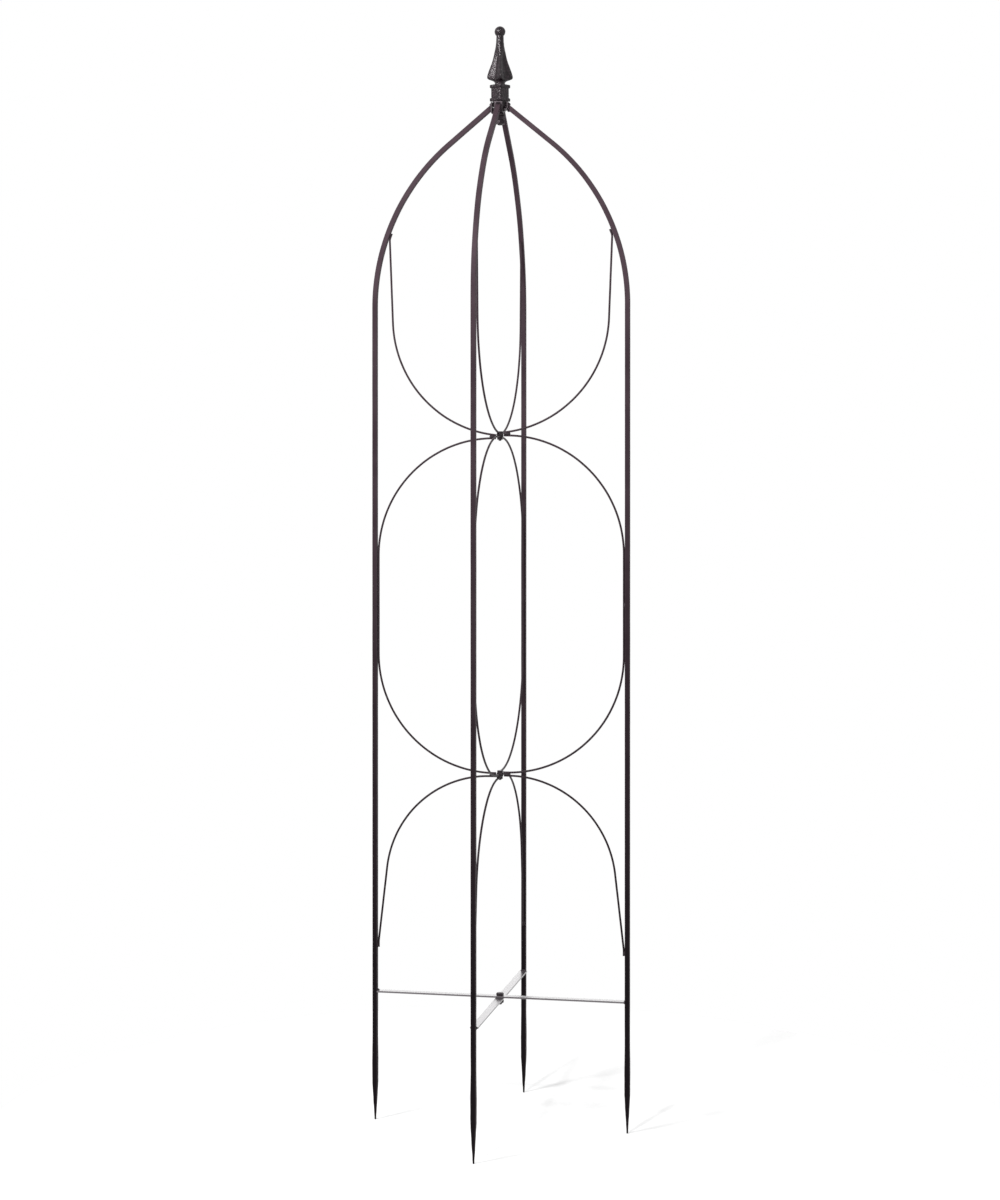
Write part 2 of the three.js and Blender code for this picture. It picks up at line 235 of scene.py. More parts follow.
def turned(levels, radius_at, angles, closed):
    """A body round the Z axis: levels are (height, key), and radius_at(key, height, angle) its shape."""
    vertices = []
    for height, key in levels:
        for angle in angles:
            radius = radius_at(key, height, angle)
            vertices.append(Vector((radius * math.cos(angle), radius * math.sin(angle), height)))
    size = len(angles)
    faces = ring_faces(len(levels), size, closed)
    if not closed:
        faces.append(tuple(range(size))[::-1])
        start = len(vertices) - size
        faces.append(tuple(range(start, start + size)))
    return vertices, faces


def even_angles(count):
    return [2 * math.pi * i / count for i in range(count)]


# ------------------------------------------------------------------ materials

def node_material(name):
    material = bpy.data.materials.new(name)
    material.use_nodes = True
    nodes, links = material.node_tree.nodes, material.node_tree.links
    return material, nodes, links, nodes["Principled BSDF"]


def noise_texture(nodes, links, coordinates, scale, detail=3.0, roughness=0.55):
    texture = nodes.new("ShaderNodeTexNoise")
    texture.inputs["Scale"].default_value = scale
    texture.inputs["Detail"].default_value = detail
    texture.inputs["Roughness"].default_value = roughness
    links.new(coordinates, texture.inputs["Vector"])
    return texture.outputs["Fac"]


def ramp(nodes, links, value, stops):
    """A colour ramp with stops (position, linear colour)."""
    node = nodes.new("ShaderNodeValToRGB")
    elements = node.color_ramp.elements
    while len(elements) < len(stops):
        elements.new(0.5)
    for element, (position, colour) in zip(elements, stops):
        element.position = position
        element.color = (*colour, 1)
    links.new(value, node.inputs["Fac"])
    return node.outputs["Color"]


def spread(nodes, links, value, low, high):
    node = nodes.new("ShaderNodeMapRange")
    node.inputs["From Min"].default_value = 0.3
    node.inputs["From Max"].default_value = 0.7
    node.inputs["To Min"].default_value = low
    node.inputs["To Max"].default_value = high
    links.new(value, node.inputs["Value"])
    return node.outputs["Result"]


def mix_colours(nodes, links, factor, first, second):
    node = nodes.new("ShaderNodeMix")
    node.data_type = "RGBA"
    links.new(factor, node.inputs["Factor"])
    for socket, colour in ((node.inputs[6], first), (node.inputs[7], second)):
        if isinstance(colour, tuple):
            socket.default_value = (*colour, 1)
        else:
            links.new(colour, socket)
    return node.outputs[2]


def stacked_bump(nodes, links, layers):
    """Bump nodes one over another: layers are (height, strength, distance)."""
    normal = None
    for height, strength, distance in layers:
        bump = nodes.new("ShaderNodeBump")
        bump.inputs["Strength"].default_value = strength
        bump.inputs["Distance"].default_value = distance
        links.new(height, bump.inputs["Height"])
        if normal is not None:
            links.new(normal, bump.inputs["Normal"])
        normal = bump.outputs["Normal"]
    return normal


# Painted shade: a coating given a painted foot shade has that dark colour up to the low height and its
# full tone from the high one, so it darkens towards the ground as if less light fell there. The heights
# and shade colours were chosen to match how the photo darkens downwards.
PAINTED_SHADE_LOW = 0.3
PAINTED_SHADE_HIGH = 1.7
# Noise scales of the powder coat, roughly in features per metre.
DRIFT_SCALE = 14
SCUFF_SCALE = 160
PEEL_SCALE = 620
GRAIN_SCALE = 1400
SHEEN_TINT = (1.0, 0.84, 0.92, 1.0)


def powder_coat(
    name, deep, warm, worn, roughness, specular, peel=0.35, coat=0.0, painted_foot_shade=None, uneven=0.08,
):
    """Dark powder coat: drifting tone, orange peel and corners rubbed to the worn colour."""
    material, nodes, links, shader = node_material(name)
    place = nodes.new("ShaderNodeTexCoord").outputs["Object"]
    drift = noise_texture(nodes, links, place, DRIFT_SCALE, 4)
    grain = noise_texture(nodes, links, place, GRAIN_SCALE, 2)
    scuffs = noise_texture(nodes, links, place, SCUFF_SCALE, 6, 0.7)
    base = ramp(nodes, links, drift, [(0.35, deep), (0.65, warm)])
    # Painted shade: the base colour is darkened towards the ground, by height.
    if painted_foot_shade:
        height = nodes.new("ShaderNodeSeparateXYZ")
        links.new(place, height.inputs["Vector"])
        rise = nodes.new("ShaderNodeMapRange")
        rise.inputs["From Min"].default_value = PAINTED_SHADE_LOW
        rise.inputs["From Max"].default_value = PAINTED_SHADE_HIGH
        links.new(height.outputs["Z"], rise.inputs["Value"])
        base = mix_colours(nodes, links, rise.outputs["Result"], painted_foot_shade, base)
    attribute = nodes.new("ShaderNodeAttribute")
    attribute.attribute_name = "wear"
    rubbed = nodes.new("ShaderNodeMath")
    rubbed.operation = "MULTIPLY"
    links.new(attribute.outputs["Fac"], rubbed.inputs[0])
    links.new(spread(nodes, links, scuffs, 0.0, 0.8), rubbed.inputs[1])
    tone = mix_colours(nodes, links, rubbed.outputs[0], base, worn)
    links.new(tone, shader.inputs["Base Color"])
    gloss = spread(nodes, links, scuffs, roughness - uneven, roughness + uneven)
    links.new(gloss, shader.inputs["Roughness"])
    peel_height = noise_texture(nodes, links, place, PEEL_SCALE, 2)
    normal = stacked_bump(nodes, links, [(peel_height, peel, 0.0003), (grain, peel * 0.5, 0.0001)])
    links.new(normal, shader.inputs["Normal"])
    shader.inputs["Specular IOR Level"].default_value = specular
    shader.inputs["Coat Weight"].default_value = coat
    shader.inputs["Specular Tint"].default_value = SHEEN_TINT
    shader.inputs["Coat Roughness"].default_value = 0.3
    shader.inputs["Coat IOR"].default_value = 1.8
    return material


def cast_paint(name):
    """Painted sand casting: pits, raised sand grains, and painted shade that darkens the hollows of the
    mottle.
    """
    material, nodes, links, shader = node_material(name)
    place = nodes.new("ShaderNodeTexCoord").outputs["Object"]
    mottle = noise_texture(nodes, links, place, 240, 5, 0.65)
    sand = noise_texture(nodes, links, place, 900, 4, 0.7)
    pits = nodes.new("ShaderNodeTexVoronoi")
    pits.inputs["Scale"].default_value = 520
    links.new(place, pits.inputs["Vector"])
    # Painted shade: the colour follows the mottle bump, darkest in its hollows and lighter on its raised
    # parts.
    base = ramp(nodes, links, mottle, [
        (0.34, (0.0015, 0.0009, 0.0012)),
        (0.52, (0.0060, 0.0035, 0.0048)),
        (0.70, (0.0340, 0.0225, 0.0280)),
    ])
    links.new(base, shader.inputs["Base Color"])
    links.new(spread(nodes, links, sand, 0.22, 0.48), shader.inputs["Roughness"])
    normal = stacked_bump(nodes, links, [
        (mottle, 0.6, 0.0012),
        (sand, 0.6, 0.0005),
        (pits.outputs["Distance"], 0.3, 0.0004),
    ])
    links.new(normal, shader.inputs["Normal"])
    shader.inputs["Specular IOR Level"].default_value = 0.12
    shader.inputs["Specular Tint"].default_value = SHEEN_TINT
    shader.inputs["Coat Weight"].default_value = 0.3
    shader.inputs["Coat Roughness"].default_value = 0.14
    links.new(normal, shader.inputs["Coat Normal"])
    return material


def weld_metal(name):
    """Painted weld bead: glossier lumps with fine ripple shadows."""
    material, nodes, links, shader = node_material(name)
    place = nodes.new("ShaderNodeTexCoord").outputs["Object"]
    lumps = noise_texture(nodes, links, place, 700, 3, 0.6)
    base = ramp(nodes, links, lumps, [(0.35, (0.004, 0.003, 0.004)), (0.7, (0.014, 0.010, 0.012))])
    links.new(base, shader.inputs["Base Color"])
    links.new(spread(nodes, links, lumps, 0.32, 0.5), shader.inputs["Roughness"])
    normal = stacked_bump(nodes, links, [(lumps, 0.4, 0.0004)])
    links.new(normal, shader.inputs["Normal"])
    shader.inputs["Specular IOR Level"].default_value = 0.25
    shader.inputs["Specular Tint"].default_value = SHEEN_TINT
    return material


# The leg and wire coats get painted shade that darkens them towards the ground.
leg_coat = powder_coat(
    "leg_coat", (0.024, 0.0145, 0.0190), (0.038, 0.0245, 0.0305), (0.046, 0.034, 0.038),
    roughness=0.52, specular=0.10, painted_foot_shade=(0.0012, 0.0005, 0.0010),
)
wire_coat = powder_coat(
    "wire_coat", (0.018, 0.0100, 0.0135), (0.028, 0.0180, 0.0225), (0.036, 0.027, 0.030),
    roughness=0.46, specular=0.16, painted_foot_shade=(0.0040, 0.0020, 0.0030),
)
brace_coat = powder_coat(
    "brace_coat", (0.012, 0.0095, 0.0125), (0.020, 0.0160, 0.0200), (0.060, 0.052, 0.057),
    roughness=0.36, specular=0.5, peel=0.15, coat=1.0, uneven=0.02,
)
hardware_coat = powder_coat(
    "hardware_coat", (0.005, 0.0040, 0.0050), (0.011, 0.0085, 0.0100), (0.050, 0.043, 0.045),
    roughness=0.40, specular=0.25, peel=0.2,
)
finial_coat = cast_paint("finial_coat")
weld_coat = weld_metal("weld_coat")


# ------------------------------------------------------------------ legs and wires

FORGED_TOP = 0.18  # the hammer marks fade out at this height
HAMMER_DEPTH = 0.00045
WAVE_DEPTH = 0.00012
WIRE_WAVE_DEPTH = 0.00008
WIRE_SIDES = 14


def make_leg(side):
    """Square bar from the forged stake, up and over the arch, to its crown tab."""
    line = BentLine(leg_radius, 0, math.pi / 2, STAKE_TIP)
    for length, size in STAKE:
        line.line(length, 0.004, size)
    line.line(spring_z - line.stations[-1][1], 0.02)
    line.arc(ARCH_RADIUS, ARCH_TURN)
    line.line(crown_run / math.cos(CROWN_SLOPE))
    section, corner = rounded_rectangle(BAR, BAR, BAR_FILLET)
    vertices, faces, rings = sweep(line.stations, section, mitre=CROWN_SLOPE)
    rotation = turned_to(side)
    shaped = []
    for v in vertices:
        hammer = max(0.0, 1 - v.z / FORGED_TOP) * min(1.0, v.z / 0.01)
        dent = noise.noise_vector(Vector((v.x * 260, v.y * 260, v.z * 75))) * (HAMMER_DEPTH * hammer)
        wave = noise.noise_vector(v * 22) * WAVE_DEPTH
        shaped.append(rotation @ (v + Vector((dent.x, dent.y, 0)) + Vector((wave.x, wave.y, 0))))
    wear = [c * 0.9 for _ in range(rings) for c in corner]
    new_piece(f"leg_{side}_bar", shaped, faces, leg_coat, f"leg_{side}", wear)


def make_wire(name, side, line):
    section = circle(WIRE_RADIUS, WIRE_SIDES)
    vertices, faces, _ = sweep(line.stations, section, round_end=0.0003)
    rotation = turned_to(side)
    shaped = [rotation @ (v + noise.noise_vector(v * 35) * WIRE_WAVE_DEPTH) for v in vertices]
    wear = [0.25] * len(vertices)
    new_piece(f"{name}_{side}_rod", shaped, faces, wire_coat, f"{name}_{side}", wear)


def upper_wire_line(side):
    """From the upper knot, round a bow, and up to lap against the arch."""
    tab_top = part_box(f"upper_knot_tab_{side}")[1].z
    line = BentLine(WIRE_START, tab_top + WIRE_RADIUS + GAP, UPPER_RISE)
    line.line(UPPER_LEAD).arc(BOW_RADIUS, math.pi / 2 - UPPER_RISE - UPPER_LEAN)
    x, z, heading, _ = line.stations[-1]
    lap_radius = ARCH_RADIUS - BAR / 2 - WIRE_RADIUS - GAP
    along = Vector((math.cos(heading), math.sin(heading)))
    inwards = Vector((-along.y, along.x))
    arch_centre = Vector((leg_radius - ARCH_RADIUS, spring_z))
    from_arch = Vector((x, z)) + inwards * UPPER_BEND - arch_centre
    middle = from_arch.dot(along)
    reach = lap_radius - UPPER_BEND
    straight = math.sqrt(middle ** 2 - from_arch.length_squared + reach ** 2) - middle
    bend_centre = from_arch + along * straight
    bend = math.atan2(bend_centre.y, bend_centre.x) + UPPER_LEAN
    line.line(straight)
    line.arc(UPPER_BEND, bend, 0.001)
    lap_start = len(line.stations) - 1
    line.arc(lap_radius, UPPER_LAP / lap_radius, 0.0015)
    return line, lap_start


def middle_wire_line(side):
    """A half oval from knot to knot, flush with the leg between its two bows."""
    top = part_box(f"upper_knot_tab_{side}")[0].z - WIRE_RADIUS - GAP
    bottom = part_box(f"lower_knot_tab_{side}")[1].z + WIRE_RADIUS + GAP
    lead = lap_x - BOW_RADIUS - WIRE_START
    line = BentLine(WIRE_START, bottom, 0)
    line.line(lead).arc(BOW_RADIUS, math.pi / 2)
    line.line(top - bottom - 2 * BOW_RADIUS)
    return line.arc(BOW_RADIUS, math.pi / 2).line(lead)


def lower_wire_line(side):
    """From the lower knot, round a bow, and down to lap against the leg."""
    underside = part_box(f"lower_knot_tab_{side}")[0].z
    line = BentLine(WIRE_START, underside - WIRE_RADIUS - GAP, 0)
    line.line(LOWER_LEAD).arc(LOWER_RADIUS, LOWER_LEAN - math.pi / 2)
    bend_run = LOWER_BEND * (1 - math.cos(LOWER_LEAN))
    line.line((lap_x - line.stations[-1][0] - bend_run) / math.sin(LOWER_LEAN))
    line.arc(LOWER_BEND, -LOWER_LEAN, 0.0015)
    lap_start = len(line.stations) - 1
    line.line(LOWER_LAP, 0.0015)
    return line, lap_start


# ------------------------------------------------------------------ weld beads

BEAD_STEP = 0.0006
BEAD_TIP = 0.12  # radius at a bead's tips, as a share of the bead's radius
BEAD_LUMP = 0.28  # height of its lumps, as a share of the same
BEAD_LUMP_SCALE = 420

LAP_BEAD = 0.0017
TAB_BEAD = 0.0016
CROWN_BEAD = 0.0022
CROWN_TOP_BEAD = 0.0030
# Two more beads inside each crown tab's flange. The photo doesn't show them: they are there to keep
# light from showing through the hub, which is opaque in the photo.
HUB_BEAD = 0.0031
HUB_BEAD_X = 0.0118
HUB_BEAD_REACH = 0.0072
HUB_BEAD_RISES = (0.003, 0.0078)


def bead(start, end, radius, seed):
    """A weld bead from start to end: a rippled, lumpy round ridge that thins at its ends."""
    axis = end - start
    length = axis.length
    axis.normalize()
    helper = Vector((0, 0, 1)) if abs(axis.z) < 0.9 else Vector((1, 0, 0))
    first = axis.cross(helper).normalized()
    second = axis.cross(first)
    count = max(8, round(length / BEAD_STEP))
    ripple = 0.0016
    vertices = []
    ring = 12
    for i in range(count + 1):
        part = i / count
        ends = math.sqrt(max(0.0, 1 - abs(2 * part - 1) ** 3))
        pulse = 1 + 0.1 * math.sin(2 * math.pi * part * length / ripple)
        centre = start + axis * (length * part)
        size = max(radius * ends * pulse, radius * BEAD_TIP)
        for j in range(ring):
            angle = 2 * math.pi * j / ring
            spot = centre + (first * math.cos(angle) + second * math.sin(angle)) * size
            lump = noise.noise(spot * BEAD_LUMP_SCALE + Vector((seed, 0, 0))) * radius * BEAD_LUMP
            vertices.append(spot + (spot - centre) * (lump / max(size, 1e-6)))
    faces = ring_faces(count + 1, ring, closed=False)
    faces.append(tuple(range(ring))[::-1])
    faces.append(tuple(range(count * ring, (count + 1) * ring)))
    return vertices, faces


def joined(parts):
    vertices, faces = [], []
    for part_vertices, part_faces in parts:
        shift = len(vertices)
        vertices.extend(part_vertices)
        faces.extend(tuple(i + shift for i in face) for face in part_faces)
    return vertices, faces


def lap_beads(points, seed):
    """Two beads, one on each flank of a wire that lies along a leg."""
    flank = WIRE_RADIUS * 0.75
    towards_leg = Vector((flank, 0, 0))
    beads = []
    for sign in (-1, 1):
        offset = Vector((0, sign * flank, 0)) + towards_leg
        beads.append(bead(points[0] + offset, points[1] + offset, LAP_BEAD, seed + sign))
    return beads


def make_welds(side, upper, upper_lap, middle, lower, lower_lap):
    """The weld beads of one leg: wires on the leg, wires on their tabs, leg on the crown tab."""
    seed = SIDES[side] / 9
    parts = []
    for line, lap in ((upper, upper_lap), (lower, lower_lap)):
        stations = line.stations
        ends = [Vector((s[0], 0, s[1])) for s in (stations[lap], stations[-1])]
        parts += lap_beads(ends, seed)
    centre_z = (middle.stations[0][1] + middle.stations[-1][1]) / 2
    half_bead = 0.0045
    ends = [Vector((lap_x, 0, centre_z - half_bead)), Vector((lap_x, 0, centre_z + half_bead))]
    parts += lap_beads(ends, seed + 3)
    tab_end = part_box("upper_knot_tab_right")[1].x
    starts = [
        (upper.stations[0], -1), (middle.stations[-1], 1),
        (middle.stations[0], -1), (lower.stations[0], 1),
    ]
    for (_, z, _, _), towards_tab in starts:
        for sign in (-1, 1):
            height = z + towards_tab * WIRE_RADIUS * 0.7
            across = sign * WIRE_RADIUS * 0.8
            parts.append(bead(
                Vector((WIRE_START - 0.0005, across, height)),
                Vector((tab_end - 0.001, across, height)),
                TAB_BEAD, seed + z,
            ))
    half_height = BAR / 2 / math.cos(CROWN_SLOPE)
    for sign in (-1, 1):
        parts.append(bead(
            Vector((leg_end_x, sign * BAR / 2, leg_end_z - half_height)),
            Vector((leg_end_x, sign * BAR / 2, leg_end_z + half_height)),
            CROWN_BEAD, seed + 5,
        ))
    for edge, radius in ((half_height, CROWN_TOP_BEAD), (-half_height, CROWN_BEAD)):
        parts.append(bead(
            Vector((leg_end_x, -BAR / 2, leg_end_z + edge)),
            Vector((leg_end_x, BAR / 2, leg_end_z + edge)),
            radius, seed + 6,
        ))
    tab_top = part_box(f"crown_tab_{side}")[0].z + CROWN_THICKNESS
    for rise in HUB_BEAD_RISES:
        parts.append(bead(
            Vector((HUB_BEAD_X, -HUB_BEAD_REACH, tab_top + rise)),
            Vector((HUB_BEAD_X, HUB_BEAD_REACH, tab_top + rise)),
            HUB_BEAD, seed + 8,
        ))
    vertices, faces = joined(parts)
    rotation = turned_to(side)
    new_piece(f"welds_{side}", [rotation @ v for v in vertices], faces, weld_coat)


def make_brace_welds():
    """Beads that join the brace bars to the legs: larger on top or underneath, as each was laid."""
    above = {"right": 0.0014, "back": 0.0026, "left": 0.0026, "front": 0.0014}
    below = {"right": 0.0018, "back": 0.0014, "left": 0.0014, "front": 0.0030}
    parts = []
    for side in SIDES:
        bar = "brace_bar_left_right" if side in ("left", "right") else "brace_bar_front_back"
        low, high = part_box(bar)
        rotation = turned_to(side)
        for height, radius in ((high.z, above[side]), (low.z, below[side])):
            reach = BAR / 2 + 0.001
            corner_x = leg_inner_face - radius * 0.2
            ends = [Vector((corner_x, sign * reach, height)) for sign in (-1, 1)]
            vertices, faces = bead(ends[0], ends[1], radius, height * 9 + SIDES[side])
            parts.append(([rotation @ v for v in vertices], faces))
    vertices, faces = joined(parts)
    new_piece("welds_brace", vertices, faces, weld_coat)


for side in SIDES:
    make_leg(side)
    upper_line, upper_lap_start = upper_wire_line(side)
    middle_line = middle_wire_line(side)
    lower_line, lower_lap_start = lower_wire_line(side)
    make_wire("upper_wire", side, upper_line)
    make_wire("middle_wire", side, middle_line)
    make_wire("lower_wire", side, lower_line)
    make_welds(side, upper_line, upper_lap_start, middle_line, lower_line, lower_lap_start)
make_brace_welds()


# ------------------------------------------------------------------ tabs and brace bars

def holed_plate(outline, hole, low, high, ease):
    """A plate round a hole on the Z axis, with eased edges. The outline goes round counter-clockwise."""
    count = len(outline)
    inset = []
    for i, (x, y) in enumerate(outline):
        before, after = outline[i - 1], outline[(i + 1) % count]
        out = Vector((after[1] - before[1], before[0] - after[0])).normalized()
        inset.append((x - out.x * ease, y - out.y * ease))
    angles = [math.atan2(y, x) for x, y in outline]
    eye = [(hole * math.cos(a), hole * math.sin(a)) for a in angles]
    flared = [((hole + ease) * math.cos(a), (hole + ease) * math.sin(a)) for a in angles]
    levels = [
        (eye, low + ease), (flared, low), (inset, low), (outline, low + ease),
        (outline, high - ease), (inset, high), (flared, high), (eye, high - ease),
    ]
    vertices = [Vector((x, y, z)) for points, z in levels for x, y in points]
    faces = ring_faces(len(levels), count, closed=True)
    on_edge = [1.0 if points is outline or points is inset else 0.0 for points, _ in levels]
    return vertices, faces, [share for share in on_edge for _ in range(count)]


def arc_points(cx, cy, radius, start, end, count):
    return [
        (cx + radius * math.cos(a), cy + radius * math.sin(a))
        for a in (start + (end - start) * i / (count - 1) for i in range(count))
    ]


def make_knot_tab(name):
    low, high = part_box(name)
    side = name.rsplit("_", 1)[1]
    rotation = turned_to(side)
    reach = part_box("upper_knot_tab_right")[1].x
    shoulder = math.asin(KNOT_WIDTH / 2 / KNOT_EYE)
    outline = arc_points(0, 0, KNOT_EYE, shoulder, 2 * math.pi - shoulder, 40)
    outline += arc_points(reach - KNOT_WIDTH / 2, 0, KNOT_WIDTH / 2, -math.pi / 2, math.pi / 2, 20)
    vertices, faces, wear = holed_plate(outline, KNOT_HOLE, low.z, high.z, 0.0003)
    shaped = [rotation @ v for v in vertices]
    new_piece(f"{name}_plate", shaped, faces, hardware_coat, name, wear)


def make_crown_tab(side):
    """An eye round the stud and a strip that turns up into the flange behind the leg's end."""
    name = f"crown_tab_{side}"
    low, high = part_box(name)
    rotation = turned_to(side)
    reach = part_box("crown_tab_right")[1].x
    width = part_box("crown_tab_front")[1].x * 2
    thickness = CROWN_THICKNESS
    eye_end = reach - CROWN_BEND - thickness
    outline = arc_points(0, 0, width / 2, math.pi / 2, 1.5 * math.pi, 30)
    outline += [(eye_end, -width / 2)]
    outline += [(eye_end, width / 2 * share) for share in (-0.8, -0.4, 0.0, 0.4, 0.8)]
    outline += [(eye_end, width / 2)]
    eye_vertices, eye_faces, wear = holed_plate(outline, CROWN_HOLE, low.z, low.z + thickness, 0.0003)
    line = BentLine(eye_end - 0.001, low.z + thickness / 2, 0)
    bend_radius = CROWN_BEND + thickness / 2
    line.line(0.001, 0.001).arc(bend_radius, math.pi / 2, 0.0008)
    line.line(high.z - line.stations[-1][1], 0.003)
    section, corner = rounded_rectangle(thickness, width, 0.0004, 3)
    strip_vertices, strip_faces, rings = sweep(line.stations, section, round_end=0.0003)
    vertices, faces = joined([(eye_vertices, eye_faces), (strip_vertices, strip_faces)])
    wear += [c for _ in range(rings) for c in corner]
    shaped = [rotation @ v for v in vertices]
    new_piece(f"{name}_plate", shaped, faces, hardware_coat, name, wear)


def make_brace_bar(name, side):
    low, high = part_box(name)
    half_length = max(high.x, high.y)
    half_width = min(high.x, high.y)
    count = 40
    run = [half_length * (1 - 2 * i / count) for i in range(count + 1)]
    outline = [(x, half_width) for x in run] + [(-x, -half_width) for x in run]
    vertices, faces, wear = holed_plate(outline, BRACE_HOLE, low.z, high.z, 0.0006)
    rotation = turned_to(side)
    shaped = [rotation @ v for v in vertices]
    new_piece(f"{name}_flat", shaped, faces, brace_coat, name, [w * 0.6 for w in wear])


for side in SIDES:
    make_knot_tab(f"upper_knot_tab_{side}")
    make_knot_tab(f"lower_knot_tab_{side}")
    make_crown_tab(side)
make_brace_bar("brace_bar_left_right", "right")
make_brace_bar("brace_bar_front_back", "back")


# ------------------------------------------------------------------ fasteners

CHAMFER_START = 0.47  # radius where a chamfer starts, as a share of the width across flats
CHAMFER_SLOPE = math.radians(30)


def hex_angles(turn):
    """Directions round a hexagon, closer together at its six corners."""
    sharp = math.radians(1.2)
    near = [-sharp, 0.0, sharp]
    along = [math.radians(a) for a in (8, 20, 30, 40, 52)]
    return [turn + math.radians(60 * side) + a for side in range(6) for a in [*near, *along]]


def hex_radius(flats, angle, turn):
    across = (angle - turn) % math.radians(60) - math.radians(30)
    return flats / 2 / math.cos(across)


def hex_levels(low, high, flats, chamfer_up, chamfer_down):
    """Heights up a hexagon, each with the round limit that its chamfers set there."""
    corner = flats / math.sqrt(3)
    depth = (corner - flats * CHAMFER_START) * math.tan(CHAMFER_SLOPE)
    levels = []
    for i in range(5):
        rise = depth * i / 4
        limit = flats * CHAMFER_START + rise / math.tan(CHAMFER_SLOPE)
        levels.append((low + (rise if chamfer_down else i * 1e-5), limit if chamfer_down else corner))
    for i in range(5):
        fall = depth * (1 - i / 4)
        limit = flats * CHAMFER_START + fall / math.tan(CHAMFER_SLOPE)
        levels.append((high - (fall if chamfer_up else (4 - i) * 1e-5), limit if chamfer_up else corner))
    return levels


def hex_wear(levels, angles, flats):
    """Wear for each vertex: a hexagon is rubbed where its chamfers cut the corners."""
    corner = flats / math.sqrt(3)
    return [0.8 if key[0] == "hex" and key[1] < corner else 0.1 for _, key in levels for _ in angles]


def thread_radius(radius, pitch, height, angle):
    """A V thread: the crest climbs one pitch for each turn."""
    phase = (height / pitch - angle / (2 * math.pi)) % 1.0
    return radius - 0.55 * pitch * (1 - abs(2 * phase - 1))


def make_bolt(name, flats, radius, head, pitch, thread, turn):
    """A hex bolt with a chamfered head, a plain shank and a threaded end."""
    low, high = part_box(name)
    seat = high.z - head
    levels = []
    rows = round(thread / pitch * 8)
    for i in range(rows + 1):
        levels.append((low.z + thread * i / rows, ("thread", radius)))
    levels += [(low.z + thread + 0.0003, ("plain", radius)), (seat, ("plain", radius))]
    head_levels = hex_levels(seat, high.z, flats, True, False)
    levels += [(height, ("hex", limit)) for height, limit in head_levels]
    angles = hex_angles(turn)

    def radius_at(key, height, angle):
        kind, size = key
        if kind == "hex":
            return min(size, hex_radius(flats, angle, turn))
        if kind == "plain":
            return size
        ending = min(1.0, (height - low.z) / 0.0008)
        return thread_radius(size, pitch, height, angle) - 0.0006 * (1 - ending)

    vertices, faces = turned(levels, radius_at, angles, closed=False)
    wear = hex_wear(levels, angles, flats)
    new_piece(f"{name}_hex", vertices, faces, hardware_coat, name, wear)


def make_nut(name, flats, hole, turn):
    low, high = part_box(name)
    levels = [(low.z + 0.0004, ("round", hole)), (low.z, ("round", hole + 0.0005))]
    side_levels = hex_levels(low.z, high.z, flats, True, True)
    levels += [(height, ("hex", limit)) for height, limit in side_levels]
    levels += [(high.z, ("round", hole + 0.0005)), (high.z - 0.0004, ("round", hole))]
    angles = hex_angles(turn)

    def radius_at(key, height, angle):
        return min(key[1], hex_radius(flats, angle, turn)) if key[0] == "hex" else key[1]

    vertices, faces = turned(levels, radius_at, angles, closed=True)
    wear = hex_wear(levels, angles, flats)
    new_piece(f"{name}_hex", vertices, faces, hardware_coat, name, wear)


def make_washer(name, hole):
    low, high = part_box(name)
    outer = high.x
    ease = 0.0004
    levels = [
        (low.z + ease, hole), (low.z, hole + ease), (low.z, outer - ease), (low.z + ease, outer),
        (high.z - ease, outer), (high.z, outer - ease), (high.z, hole + ease), (high.z - ease, hole),
    ]
    angles = even_angles(64)
    vertices, faces = turned(levels, lambda key, height, angle: key, angles, closed=True)
    wear = [0.7 if key > outer - ease / 2 else 0.0 for _, key in levels for _ in angles]
    new_piece(f"{name}_ring", vertices, faces, hardware_coat, name, wear)


def make_stud(name, pitch):
    """The finial's threaded stud."""
    low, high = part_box(name)
    radius = high.x
    rows = round((high.z - low.z) / pitch * 6)
    levels = [(low.z + (high.z - low.z) * i / rows, i) for i in range(rows + 1)]

    def radius_at(key, height, angle):
        ending = min(1.0, (height - low.z) / 0.001, (high.z - height) / 0.001)
        return thread_radius(radius, pitch, height, angle) - 0.0008 * (1 - ending)

    vertices, faces = turned(levels, radius_at, even_angles(40), closed=False)
    new_piece(f"{name}_thread", vertices, faces, hardware_coat, name, [0.3] * len(vertices))


for knot, turn in (("upper_knot", 0.2), ("lower_knot", 0.55)):
    make_bolt(
        f"{knot}_bolt", flats=10 * MM, radius=3 * MM, head=4 * MM,
        pitch=1 * MM, thread=9 * MM, turn=turn,
    )
    make_nut(f"{knot}_nut", flats=10 * MM, hole=3.3 * MM, turn=turn + 0.3)
make_bolt(
    "brace_bolt", flats=12.7 * MM, radius=4 * MM, head=5.3 * MM,
    pitch=1.4 * MM, thread=12 * MM, turn=0.35,
)
make_nut("brace_nut", flats=12.7 * MM, hole=4.3 * MM, turn=0.1)
make_washer("crown_washer", STUD_HOLE)
make_nut("crown_nut", flats=17 * MM, hole=STUD_HOLE, turn=math.radians(12))
make_nut("crown_lock_nut", flats=17 * MM, hole=STUD_HOLE, turn=math.radians(40))
make_stud("finial_stud", pitch=1.5 * MM)


# ------------------------------------------------------------------ finial

